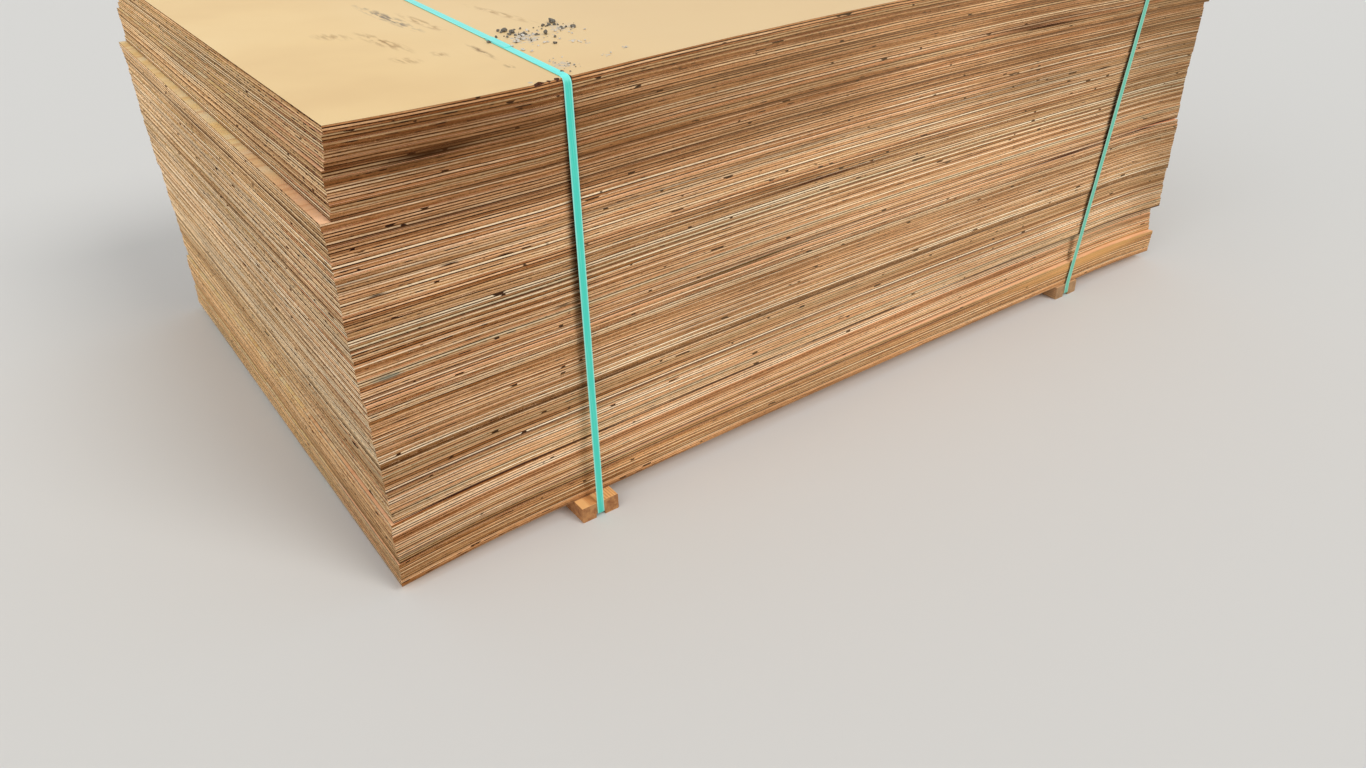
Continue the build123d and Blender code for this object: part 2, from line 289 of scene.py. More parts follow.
def mark_front_stains_and_shade(tree, colour, place, streak, stains_and_shade):
    """Ragged marks on the front, some stained wood and some painted shade and painted shadow: x and z of the
    middle, half length, half height, rise along the length, colour and strength."""
    for x, z, half_x, half_z, slope, stain_and_shade_colour, strength in stains_and_shade:
        spot = node(tree, "Mapping", {"Vector": place, "Location": (x, FRONT, z), "Rotation": (0, -slope, 0),
                                      "Scale": (half_x, 0.7, half_z)}, vector_type="TEXTURE")
        far = node(tree, "VectorMath", {0: spot.outputs[0]}, operation="LENGTH")
        torn = node(tree, "Math", {0: streak, 1: 1.6, 2: far.outputs["Value"]}, operation="MULTIPLY_ADD")
        amount = node(tree, "MapRange", {"Value": torn.outputs[0], "From Min": 1.7, "From Max": 1.0,
                                         "To Max": strength})
        colour = node(tree, "Mix", {"Factor": amount.outputs[0], 6: colour, 7: linear(stain_and_shade_colour)},
                      data_type="RGBA").outputs[2]
    return colour


def plywood_edge(name, along, dark_first, core_thinning, light_plies, dark_plies, glue, pitting, flecking,
                 sheet_tones, tone_by_height, bleaching, stains_and_shade=()):
    """Sawn edge of softwood plywood: five rotary-cut plies with dark phenolic glue lines between them.
    Where a ply's grain runs along the edge it is pale and streaked. Where the saw crosses the grain it
    is darker, rough and open, with lathe checks and small voids. Ply and sheet follow the attributes
    of the mesh, so that the lines bend with each sheet."""
    material, tree = new_material(name)
    place = node(tree, "TexCoord").outputs["Object"]
    run = node(tree, "SeparateXYZ", {"Vector": place}).outputs[along]
    height = node(tree, "Attribute", attribute_name="height_in_sheet").outputs["Fac"]
    sheet = node(tree, "Attribute", attribute_name="sheet_number").outputs["Fac"]
    wander, ply, within, crossing = lay_plies(tree, run, height, sheet, dark_first, core_thinning)

    # The grain's own space: metres along the edge, plies up the stack, and metres up the sheet. The
    # patterns' scale for the second only makes each ply unlike the next.
    plies_up = node(tree, "Math", {0: sheet, 1: float(PLIES), 2: ply}, operation="MULTIPLY_ADD")
    rise = node(tree, "Math", {0: height, 1: SHEET_THICKNESS}, operation="MULTIPLY")
    grain = node(tree, "CombineXYZ", {"X": run, "Y": plies_up.outputs[0], "Z": rise.outputs[0]}).outputs[0]
    wood, streak, band, checks = colour_plies(tree, grain, ply, sheet, crossing, light_plies, dark_plies)
    wood, gone = open_plies(tree, wood, grain, within, crossing, glue, pitting)
    wood = arrises_worn_and_shaded(tree, wood, height, wander, band, glue)
    wood = weather_sheets(tree, wood, place, run, sheet, sheet_tones, tone_by_height, bleaching, flecking)
    colour = mark_front_stains_and_shade(tree, wood, place, streak, stains_and_shade)

    relief = node(tree, "Math", {0: crossing, 1: -0.3, 2: checks}, operation="MULTIPLY_ADD")
    relief = node(tree, "Math", {0: relief.outputs[0], 1: gone}, operation="SUBTRACT")
    finish_surface(tree, colour, 0.9, relief.outputs[0], 0.4 * MM,
                   **{"IOR": 1.45, "Specular IOR Level": 0.05})
    return material


def veneer_face():
    """Face veneer of softwood plywood: rotary cut, sanded lightly, so broad wavy figure along the sheet
    with fine streaks. Only ledges, the wedge by the lowest sheets and the underside show it."""
    material, tree = new_material("rotary cut veneer face")
    place = node(tree, "TexCoord").outputs["Object"]
    # Broad figure, 70 mm across the grain.
    broad_place = node(tree, "VectorMath", {0: place, 1: (cells(625), cells(71.4), cells(333))},
                       operation="MULTIPLY")
    broad = node(tree, "TexNoise", {"Vector": broad_place.outputs[0], "Scale": 1.0, "Detail": 3.0,
                                    "Distortion": 0.6})
    # Streaks, 2.4 mm across the grain.
    fine_place = node(tree, "VectorMath", {0: place, 1: (cells(83.3), cells(2.381), cells(16.667))},
                      operation="MULTIPLY")
    fine = node(tree, "TexNoise", {"Vector": fine_place.outputs[0], "Scale": 1.0, "Detail": 3.0})
    figure = node(tree, "Math", {0: fine.outputs["Fac"], 1: 0.35, 2: broad.outputs["Fac"]},
                  operation="MULTIPLY_ADD")
    colour = set_stops(node(tree, "ValToRGB", {"Fac": figure.outputs[0]}),
                       ((0.38, "#F4C67C"), (0.62, "#FCDC9A"), (0.85, "#FFEABC")))
    # Heartwood, nearer the front, is pinker.
    across = node(tree, "SeparateXYZ", {"Vector": place}).outputs["Y"]
    heart = node(tree, "TexNoise", {"Vector": place, "Scale": cells(200), "Detail": 2.0})
    heart = node(tree, "Math", {0: across, 1: -0.9, 2: heart.outputs["Fac"]}, operation="MULTIPLY_ADD")
    pink = node(tree, "MapRange", {"Value": heart.outputs[0], "From Min": 0.70, "From Max": 1.05,
                                   "To Max": 0.7})
    colour = node(tree, "Mix", {"Factor": pink.outputs[0], 6: colour, 7: linear("#FCBC92")},
                  data_type="RGBA").outputs[2]
    # Summer wood shows as brown lines some 12 mm apart.
    line_place = node(tree, "VectorMath", {0: place, 1: (cells(143), cells(11.905), cells(50))},
                      operation="MULTIPLY")
    lines = node(tree, "TexNoise", {"Vector": line_place.outputs[0], "Scale": 1.0, "Detail": 2.0})
    brown = node(tree, "MapRange", {"Value": lines.outputs["Fac"], "From Min": 0.52, "From Max": 0.64,
                                    "To Max": 0.45})
    colour = node(tree, "Mix", {"Factor": brown.outputs[0], 6: colour, 7: linear("#D89660")},
                  data_type="RGBA").outputs[2]
    finish_surface(tree, colour, 0.7, fine.outputs["Fac"], 0.2 * MM, **{"IOR": 1.45})
    return material


def from_middle(tree, place, x, y, half_x, half_y, turn=0):
    """How far a point lies from the middle of an oval spot on the top sheet, where its rim is at 1."""
    spot = node(tree, "Mapping", {"Vector": place, "Location": (x, y, TOP_FACE),
                                  "Rotation": (0, 0, math.radians(turn)),
                                  "Scale": (half_x, half_y, 1.0)}, vector_type="TEXTURE")
    return node(tree, "VectorMath", {0: spot.outputs[0]}, operation="LENGTH").outputs["Value"]


def rub_smudges(tree, colour, place):
    """Smudges rubbed into the overlay: x and y of the middle, half length along x, half length along y,
    turn in degrees, strength and colour."""
    scuff_place = node(tree, "VectorMath", {0: place, 1: (cells(9.091), cells(41.667), cells(1000))},
                       operation="MULTIPLY")
    scuffs = node(tree, "TexNoise", {"Vector": scuff_place.outputs[0], "Scale": 1.0, "Detail": 3.0})
    rubbed = node(tree, "MapRange", {"Value": scuffs.outputs["Fac"], "From Min": 0.42, "From Max": 0.62})
    smudges = ((-0.840, -0.109, 0.018, 0.190, 2, 0.80, "#8C7A64"),
               (-0.927, -0.306, 0.022, 0.130, 6, 0.55, "#A5793F"),
               (-0.990, -0.200, 0.030, 0.060, 30, 0.35, "#A5793F"),
               (-0.947, -0.465, 0.022, 0.045, 20, 0.40, "#A5793F"),
               (-0.881, -0.466, 0.016, 0.034, 10, 0.50, "#A5793F"),
               (-0.814, -0.500, 0.008, 0.085, -3, 0.70, "#96744A"),
               (-0.823, -0.628, 0.008, 0.022, 0, 0.70, "#96744A"),
               (-0.653, -0.270, 0.014, 0.160, 6, 0.45, "#A5793F"),
               (-0.803, -0.208, 0.014, 0.140, 2, 0.50, "#A5793F"))
    for x, y, half_x, half_y, turn, strength, smear in smudges:
        far = from_middle(tree, place, x, y, half_x, half_y, turn)
        inside = node(tree, "MapRange", {"Value": far, "From Min": 1.0, "From Max": 0.2})
        amount = node(tree, "Math", {0: inside.outputs[0], 1: rubbed.outputs[0]}, operation="MULTIPLY")
        amount = node(tree, "Math", {0: amount.outputs[0], 1: strength * 1.6}, operation="MULTIPLY")
        colour = node(tree, "Mix", {"Factor": amount.outputs[0], 6: colour, 7: linear(smear)},
                      data_type="RGBA").outputs[2]
    return colour


def strew_dust(tree, colour, place):
    """Dry grey dust round the grit: x and y of the middle, half lengths and strength."""
    speck = node(tree, "TexNoise", {"Vector": place, "Scale": cells(10.526), "Detail": 4.0, "Roughness": 0.7})
    dust = ((-0.712, -0.476, 0.062, 0.085, 1.0), (-0.620, -0.450, 0.050, 0.055, 0.9),
            (-0.752, -0.687, 0.036, 0.055, 0.9), (-0.661, -0.695, 0.012, 0.012, 0.8),
            (-0.610, -0.677, 0.012, 0.014, 0.8), (-0.644, -0.599, 0.014, 0.012, 0.7),
            (-0.653, -0.560, 0.018, 0.014, 0.8), (-0.843, -0.741, 0.010, 0.012, 0.9))
    for x, y, half_x, half_y, strength in dust:
        far = from_middle(tree, place, x, y, half_x, half_y)
        inside = node(tree, "MapRange", {"Value": far, "From Min": 1.0, "From Max": 0.3,
                                         "To Min": -0.25, "To Max": 0.06})
        scattered = node(tree, "Math", {0: inside.outputs[0], 1: speck.outputs["Fac"]}, operation="ADD")
        amount = node(tree, "MapRange", {"Value": scattered.outputs[0], "From Min": 0.5, "From Max": 0.62,
                                         "To Max": strength})
        colour = node(tree, "Mix", {"Factor": amount.outputs[0], 6: colour, 7: linear("#CDC2B0")},
                      data_type="RGBA").outputs[2]
    return colour


def resin_overlay():
    """Medium-density overlay: resin-soaked kraft paper pressed hot on the top sheet. Smooth and matt,
    with faint cloudy mottling from the press, scuffs, dry dust and rubbed dirt."""
    material, tree = new_material("resin paper overlay")
    place = node(tree, "TexCoord").outputs["Object"]
    # Cloudy mottling, some 400 mm across.
    cloud = node(tree, "TexNoise", {"Vector": place, "Scale": cells(385), "Detail": 3.0})
    colour = set_stops(node(tree, "ValToRGB", {"Fac": cloud.outputs["Fac"]}),
                       ((0.3, "#EAC68C"), (0.5, "#F2D095"), (0.7, "#F6D69D")))
    along = node(tree, "SeparateXYZ", {"Vector": place}).outputs["X"]
    shade = node(tree, "MapRange", {"Value": along, "From Min": -1.0, "From Max": -0.5, "To Max": 0.75})
    colour = node(tree, "Mix", {"Factor": shade.outputs[0], 6: colour, 7: linear("#E6C796")},
                  data_type="RGBA").outputs[2]
    colour = rub_smudges(tree, colour, place)
    colour = strew_dust(tree, colour, place)
    # Paper fibres, drawn 2 mm apart so that they show.
    fibre = node(tree, "TexNoise", {"Vector": place, "Scale": cells(2.0833), "Detail": 2.0})
    finish_surface(tree, colour, 0.55, fibre.outputs["Fac"], 0.03 * MM, **{"IOR": 1.5})
    return material


def torn_veneer():
    """Torn wood inside a chipped edge: brown fibres pulled out along the grain, with dirt between them."""
    material, tree = new_material("torn veneer")
    place = node(tree, "TexCoord").outputs["Object"]
    # Bundles of fibres, 11 mm long and 1.1 to 1.4 mm thick.
    fibre_place = node(tree, "VectorMath", {0: place, 1: (cells(11.111), cells(1.1111), cells(1.4286))},
                       operation="MULTIPLY")
    fibre = node(tree, "TexNoise", {"Vector": fibre_place.outputs[0], "Scale": 1.0, "Detail": 3.0})
    colour = set_stops(node(tree, "ValToRGB", {"Fac": fibre.outputs["Fac"]}),
                       ((0.3, "#260E06"), (0.5, "#522814"), (0.7, "#8A5630")))
    finish_surface(tree, colour, 0.9, fibre.outputs["Fac"], 1.2 * MM, **{"IOR": 1.45})
    return material


def sawn_softwood(name, middle, early, late, weathered):
    """Spruce or fir two-by-four, planed and then weathered: growth rings 3 mm apart round a pith outside
    the section, so arcs on the sawn ends and long stripes on the faces, with grey-brown dirt."""
    material, tree = new_material(name)
    place = node(tree, "TexCoord").outputs["Object"]
    pith = node(tree, "Mapping", {"Vector": place, "Location": middle, "Rotation": (0.012, 0.0, 0.02)},
                vector_type="TEXTURE")
    apart = node(tree, "SeparateXYZ", {"Vector": pith.outputs[0]})
    section = node(tree, "CombineXYZ", {"X": apart.outputs["X"], "Y": 0.0, "Z": apart.outputs["Z"]})
    radius = node(tree, "VectorMath", {0: section.outputs[0]}, operation="LENGTH")
    # The rings bend by up to 12 mm over some 600 mm of the timber's length.
    bend_place = node(tree, "VectorMath", {0: place, 1: (cells(71.4), cells(625), cells(71.4))},
                      operation="MULTIPLY")
    bend = node(tree, "TexNoise", {"Vector": bend_place.outputs[0], "Scale": 1.0, "Detail": 2.0})
    warped = node(tree, "Math", {0: bend.outputs["Fac"], 1: 12 * MM, 2: radius.outputs["Value"]},
                  operation="MULTIPLY_ADD")
    rings = node(tree, "Math", {0: warped.outputs[0], 1: cells(3.125)}, operation="MULTIPLY")
    ring = node(tree, "Math", {0: rings.outputs[0]}, operation="FRACT")
    fibre_place = node(tree, "VectorMath", {0: place, 1: (cells(1.1111), cells(71.4), cells(1.1111))},
                       operation="MULTIPLY")
    fibre = node(tree, "TexNoise", {"Vector": fibre_place.outputs[0], "Scale": 1.0, "Detail": 3.0})
    mixed = node(tree, "Math", {0: fibre.outputs["Fac"], 1: 0.45, 2: ring.outputs[0]},
                 operation="MULTIPLY_ADD")
    colour = set_stops(node(tree, "ValToRGB", {"Fac": mixed.outputs[0]}),
                       ((0.15, early), (0.75, early), (1.0, late), (0.93333, late)))
    dirt = node(tree, "TexNoise", {"Vector": place, "Scale": cells(16.667), "Detail": 5.0, "Roughness": 0.65})
    dirty = node(tree, "MapRange", {"Value": dirt.outputs["Fac"], "From Min": 0.42, "From Max": 0.7,
                                    "To Min": 0.6, "To Max": 1.0})
    # The sides and the end grain are dirty. The upper face, which the sheets kept clean, is not.
    up = node(tree, "SeparateXYZ", {"Vector": place}).outputs["Z"]
    low = node(tree, "MapRange", {"Value": up, "From Min": BOLSTER_TOP, "From Max": BOLSTER_TOP - 1 * MM,
                                  "To Min": 0.1})
    dirty = node(tree, "Math", {0: dirty.outputs[0], 1: low.outputs[0]}, operation="MULTIPLY")
    colour = node(tree, "Mix", {"Factor": dirty.outputs[0], 6: colour, 7: linear(weathered)},
                  data_type="RGBA").outputs[2]
    finish_surface(tree, colour, 0.75, mixed.outputs[0], 0.4 * MM, **{"IOR": 1.45})
    return material


def polyester_strap(name, face, worn):
    """Extruded polyester strapping, 16 mm by 0.9 mm: glossy teal plastic, embossed with a waffle of
    1.6 mm squares, scuffed paler on its edges and a little dusty."""
    material, tree = new_material(name)
    place = node(tree, "TexCoord").outputs["Object"]
    apart = node(tree, "SeparateXYZ", {"Vector": place})
    # The waffle is two sets of slanting ribs, one each way across the band.
    along = node(tree, "Math", {0: apart.outputs["Y"], 1: apart.outputs["Z"]}, operation="ADD")
    ribs = []
    for slant in ("ADD", "SUBTRACT"):
        way = node(tree, "Math", {0: along.outputs[0], 1: apart.outputs["X"]}, operation=slant)
        turn = node(tree, "Math", {0: way.outputs[0], 1: math.pi * cells(1.6)}, operation="MULTIPLY")
        ribs.append(node(tree, "Math", {0: turn.outputs[0]}, operation="SINE").outputs[0])
    waffle = node(tree, "Math", {0: ribs[0], 1: ribs[1]}, operation="MULTIPLY")
    # Scratches along the band, 1.25 mm apart.
    scratch_place = node(tree, "VectorMath", {0: place, 1: (cells(1.25), cells(111), cells(111))},
                         operation="MULTIPLY")
    scratches = node(tree, "TexNoise", {"Vector": scratch_place.outputs[0], "Scale": 1.0,
                                        "Detail": 3.0}).outputs["Fac"]
    wear = node(tree, "MapRange", {"Value": scratches, "From Min": 0.55, "From Max": 0.75, "To Max": 0.5})
    colour = node(tree, "Mix", {"Factor": wear.outputs[0], 6: linear(face), 7: linear(worn)},
                  data_type="RGBA")
    # Its two rims, a fifth of its width, are rubbed pale.
    across = node(tree, "Attribute", attribute_name="across").outputs["Fac"]
    outwards = node(tree, "Math", {0: across}, operation="ABSOLUTE")
    rim = node(tree, "MapRange", {"Value": outwards.outputs[0], "From Min": 0.62, "From Max": 0.85,
                                  "To Max": 0.65})
    colour = node(tree, "Mix", {"Factor": rim.outputs[0], 6: colour.outputs[2], 7: linear(worn)},
                  data_type="RGBA")
    # Painted reflection: the run over the top, which faces the sky, is painted pale cyan for the sky's
    # reflection on it.
    high = node(tree, "MapRange", {"Value": apart.outputs["Z"], "From Min": STACK_HEIGHT - 22 * MM,
                                   "From Max": STACK_HEIGHT - 14 * MM, "To Max": 0.9})
    colour = node(tree, "Mix", {"Factor": high.outputs[0], 6: colour.outputs[2], 7: linear("#7CFAF2")},
                  data_type="RGBA").outputs[2]
    roughness = node(tree, "MapRange", {"Value": scratches, "From Min": 0.3, "From Max": 0.8,
                                        "To Min": 0.32, "To Max": 0.5})
    finish_surface(tree, colour, roughness.outputs[0], waffle.outputs[0], 0.06 * MM, **{"IOR": 1.57})
    return material


def crushed_rock(name, dark, pale):
    """Stone grit: broken grey rock with pale mineral specks of 2 mm, dry and rough."""
    material, tree = new_material(name)
    place = node(tree, "TexCoord").outputs["Object"]
    speck = node(tree, "TexNoise", {"Vector": place, "Scale": cells(2.381), "Detail": 3.0})
    colour = set_stops(node(tree, "ValToRGB", {"Fac": speck.outputs["Fac"]}), ((0.35, dark), (0.65, pale)))
    finish_surface(tree, colour, 0.9, speck.outputs["Fac"], 0.5 * MM, **{"IOR": 1.5})
    return material


# Pieces

def alone(piece):
    bpy.ops.object.select_all(action="DESELECT")
    piece.select_set(True)
    bpy.context.view_layer.objects.active = piece


def joined(pieces, name):
    """Pieces joined into the first of them."""
    bpy.ops.object.select_all(action="DESELECT")
    for piece in pieces:
        piece.select_set(True)
    bpy.context.view_layer.objects.active = pieces[0]
    if len(pieces) > 1:
        bpy.ops.object.join()
    pieces[0].name = name
    return pieces[0]


def apply_modifier(piece, kind, **settings):
    alone(piece)
    modifier = piece.modifiers.new(kind.lower(), kind)
    for name, value in settings.items():
        setattr(modifier, name, value)
    bpy.ops.object.modifier_apply(modifier=modifier.name)


def cut_away(sheet, cutter, torn):
    """Takes the cutter's shape out of a sheet and leaves torn wood in the cut."""
    cutter.data.materials.append(torn)
    apply_modifier(sheet, "BOOLEAN", operation="DIFFERENCE", object=cutter, material_mode="TRANSFER")
    bpy.data.objects.remove(cutter)


def copy_of_node(name, piece_name):
    """A CAD node's mesh, joined up from loose triangles into whole solids."""
    piece = bpy.data.objects.new(piece_name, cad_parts[name].data.copy())
    bpy.context.scene.collection.objects.link(piece)
    piece.data.materials.clear()
    alone(piece)
    bpy.ops.object.mode_set(mode="EDIT")
    bpy.ops.mesh.select_all(action="SELECT")
    bpy.ops.mesh.remove_doubles(threshold=0.02 * MM)
    bpy.ops.object.mode_set(mode="OBJECT")
    return piece


def middle_height(sheet):
    return sum(corner.co.z for corner in sheet.data.vertices) / len(sheet.data.vertices)


def loose_sheets(piece):
    """Parts a lift into its sheets, lowest first."""
    alone(piece)
    bpy.ops.mesh.separate(type="LOOSE")
    return sorted(bpy.context.selected_objects, key=middle_height)


def underside_points(sheet):
    """The line of a sheet's underside in side view, from its left end to its right end."""
    corners = {corner for face in sheet.data.polygons if face.normal.z < -0.7 for corner in face.vertices}
    return sorted((sheet.data.vertices[corner].co.x, sheet.data.vertices[corner].co.z) for corner in corners)


def height_at(points, x):
    """Height of the underside at x."""
    for (left, left_z), (right, right_z) in zip(points[:-1], points[1:]):
        if left <= x <= right and right > left:
            return left_z + (right_z - left_z) * (x - left) / (right - left)
    return points[0][1] if x < points[0][0] else points[-1][1]


def mark_plies(sheet, points, number, gap_shade_line):
    """Writes each point's height within its sheet, from 0 to 1, the sheet's number up the stack, and the
    strength of the painted shade line under it, for the gap below the sheet."""
    mesh = sheet.data
    heights = [min(max((v.co.z - height_at(points, v.co.x)) / SHEET_THICKNESS, 0), 1) for v in mesh.vertices]
    for name, values in (("height_in_sheet", heights), ("sheet_number", [float(number)] * len(heights)),
                         ("gap_shade_line", [gap_shade_line] * len(heights))):
        mesh.attributes.new(name, "FLOAT", "POINT").data.foreach_set("value", values)


def dress_faces(sheet, finishes):
    """Gives each face the finish of its side of the board: long edge, short end, upper, lower. The
    eased arrises go with the edges."""
    for material in finishes:
        sheet.data.materials.append(material)
    for face in sheet.data.polygons:
        across = face.normal
        if abs(across.z) > 0.9:
            face.material_index = 2 if across.z > 0 else 3
        else:
            face.material_index = 0 if abs(across.y) > abs(across.x) else 1
        face.use_smooth = False


def chip_edge(sheet, place, size, seed, torn):
    """Breaks a bite out of a sheet's edge."""
    bite = broken_stone(size, seed)
    bite.data.transform(Matrix.Translation(place))
    cut_away(sheet, bite, torn)


def crush_edge(sheet, bend, torn):
    """Crushes a sheet's top edge to the round of the strap that bends over it."""
    x, y, z, side = bend
    # The strap's bend has flats between its corners, and the crushed edge fits inside them.
    round_edge = (ROUND_BEND - STRAP_THICKNESS) * math.cos(BEND_STEP / 2) - 0.05 * MM
    bpy.ops.object.select_all(action="DESELECT")
    bpy.ops.mesh.primitive_cylinder_add(vertices=48, radius=round_edge, depth=30 * MM, location=(x, y, z),
                                        rotation=(0, math.pi / 2, 0))
    kept = bpy.context.object
    reach = 1.25 * ROUND_BEND
    bpy.ops.mesh.primitive_cube_add(size=reach, location=(x, y + side * reach / 2, z + reach / 2))
    cutter = bpy.context.object
    # The cut is 18.4 mm wide, for a strap of 16 mm.
    cutter.scale = (1.05, 1.0, 1.0)
    bpy.ops.object.transform_apply(location=True, rotation=True, scale=True)
    apply_modifier(cutter, "BOOLEAN", operation="DIFFERENCE", object=kept)
    bpy.data.objects.remove(kept)
    cut_away(sheet, cutter, torn)


def open_bend(strap, side):
    """Opens out the bend over one top edge, as the strap has sunk into the sheets there. Gives the
    middle of the bend, and which side it is on."""
    run_start = 800 * MM
    opened = ROUND_BEND - TIGHT_BEND
    # The strap's upper part on this side: above 800 mm, and more than 700 mm from the middle.
    run = [corner for corner in strap.data.vertices
           if corner.co.z > run_start and corner.co.y * side > 700 * MM]
    highest = max(corner.co.z for corner in run)
    bend_start = highest - TIGHT_BEND - 0.5 * MM
    bend = [corner for corner in run if corner.co.z > bend_start]
    outermost = max(corner.co.y * side for corner in bend)
    middle = Vector((0, side * (outermost - TIGHT_BEND), highest - TIGHT_BEND))
    # The creases in the run below are drawn down, so that they stay below the opened bend.
    squeeze = (highest - ROUND_BEND - run_start) / (highest - TIGHT_BEND - run_start)
    for corner in run:
        if corner.co.z <= bend_start:
            corner.co.z = run_start + (corner.co.z - run_start) * squeeze
    for corner in bend:
        away = Vector((0, corner.co.y - middle.y, corner.co.z - middle.z)).normalized()
        corner.co += opened * (away + Vector((0, -side, -1)))
    across = sum(corner.co.x for corner in bend) / len(bend)
    return across, middle.y - side * opened, middle.z - opened, side


def build_strap(name, material):
    """A strap with its two upper bends opened out. Gives those bends."""
    strap = copy_of_node(name, name + "_band")
    bends = [open_bend(strap, side) for side in (-1, 1)]
    # How far across the band a point lies, from -1 to 1.
    sides = [0.0] * len(strap.data.vertices)
    for face in strap.data.polygons:
        if abs(face.normal.x) > 0.7:
            for corner in face.vertices:
                sides[corner] = 1.0 if face.normal.x > 0 else -1.0
    strap.data.attributes.new("across", "FLOAT", "POINT").data.foreach_set("value", sides)
    strap.data.materials.append(material)
    alone(strap)
    bpy.ops.object.shade_smooth_by_angle(angle=math.radians(40))
    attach(strap, "root")
    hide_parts(name)
    return bends


def build_sheets(lift, first_number, finishes, torn=None, chips=(), bends=()):
    """A lift of sheets, each with its arrises eased, its damage done and its plies marked."""
    sheets = loose_sheets(copy_of_node(lift, lift + "_plies"))
    for offset, sheet in enumerate(sheets):
        points = underside_points(sheet)
        apply_modifier(sheet, "BEVEL", width=EASED_ARRIS, segments=1, limit_method="ANGLE",
                       angle_limit=math.radians(50))
        dress_faces(sheet, finishes)
        for place, size, seed in chips:
            chip_edge(sheet, place, size, seed, torn)
        for bend in bends:
            crush_edge(sheet, bend, torn)
        # Painted shade: the lowest sheet of each lift gets the dark line for the gap under it.
        gap_shade_line = GAP_SHADE_LINES.get(lift, OTHER_GAP_SHADE_LINES) if offset == 0 else 0.0
        mark_plies(sheet, points, first_number + offset, gap_shade_line)
    piece = joined(sheets, lift + "_plies")
    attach(piece, "root")
    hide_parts(lift)
    return piece, first_number + len(sheets)


def broken_stone(size, seed):
    """A small angular stone: a ball with its sides knocked flat."""
    chance = Random(seed)
    bpy.ops.object.select_all(action="DESELECT")
    bpy.ops.mesh.primitive_ico_sphere_add(subdivisions=2, radius=size / 2)
    stone = bpy.context.object
    for _ in range(9):
        blow = Vector((chance.gauss(0, 1), chance.gauss(0, 1), chance.gauss(0, 1))).normalized()
        depth = size / 2 * chance.uniform(0.5, 0.85)
        for vertex in stone.data.vertices:
            beyond = vertex.co.dot(blow) - depth
            if beyond > 0:
                vertex.co -= blow * beyond
    squat = Matrix.Diagonal((1.0, chance.uniform(0.6, 0.95), chance.uniform(0.5, 0.75), 1.0))
    stone.data.transform(Matrix.Rotation(chance.uniform(0, 6.283), 4, "Z") @ squat)
    return stone


def lay_grit(name, material, top_surface, single_stones, heaps, seed):
    """Broken stones lying on the top sheet: single ones as x, y and size, and heaps as x, y, spread
    along x and y, count, smallest and largest size."""
    chance = Random(seed)
    places = list(single_stones)
    for x, y, spread_x, spread_y, count, smallest, largest in heaps:
        for _ in range(count):
            size = smallest + (largest - smallest) * chance.random() ** 2
            places.append((x + chance.gauss(0, spread_x), y + chance.gauss(0, spread_y), size))
    stones = []
    for number, (x, y, size) in enumerate(places):
        stone = broken_stone(size, seed * 1000 + number)
        lowest = min(vertex.co.z for vertex in stone.data.vertices)
        ground = top_surface.ray_cast(Vector((x, y, 2.0)), Vector((0, 0, -1)))[0].z
        stone.data.transform(Matrix.Translation((x, y, ground - lowest - 0.05 * size)))
        stones.append(stone)
    grit = joined(stones, name)
    grit.data.materials.append(material)
    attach(grit, "root")


def dress_bolster(name, material):
    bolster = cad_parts[name]
    bolster.data.materials.clear()
    bolster.data.materials.append(material)


# The studio

def lay_floor():
    """A plain pale floor."""
    bpy.ops.object.select_all(action="DESELECT")
    bpy.ops.mesh.primitive_circle_add(vertices=96, radius=40, fill_type="NGON")
    floor = bpy.context.object
    floor.name = "studio_floor"
    material, tree = new_material("pale studio floor")
    shader = node(tree, "BsdfPrincipled", {"Base Color": linear("#D9D8D5"), "Roughness": 0.9})
    node(tree, "OutputMaterial", {"Surface": shader.outputs["BSDF"]})
    floor.data.materials.append(material)


def light_studio():
    """Soft light from all round, a broad lamp high on the right in front and a weaker one on the left."""
    world = bpy.data.worlds.new("studio light")
    bpy.context.scene.world = world
    world.use_nodes = True
    tree = world.node_tree
    tree.nodes.clear()
    rays = node(tree, "LightPath")
    seen = node(tree, "Math", {0: rays.outputs["Is Camera Ray"], 1: rays.outputs["Is Glossy Ray"]},
                operation="MAXIMUM")
    strength = node(tree, "MapRange", {"Value": seen.outputs[0], "To Min": 0.6, "To Max": 0.9})
    sky = node(tree, "Background", {"Color": linear("#F4F5F6"), "Strength": strength.outputs[0]})
    node(tree, "OutputWorld", {"Surface": sky.outputs["Background"]})
    for way, energy, spread in (((0.35, -0.90, 0.90), 1.25, 25), ((-0.90, -0.30, 0.60), 0.9, 60)):
        bpy.ops.object.light_add(type="SUN")
        lamp = bpy.context.object
        lamp.data.energy = energy
        lamp.data.angle = math.radians(spread)
        lamp.data.color = (1.0, 0.99, 0.97)
        lamp.rotation_euler = Vector(way).to_track_quat("Z", "Y").to_euler()


set_up_camera()
bpy.context.scene.view_settings.view_transform = "Standard"

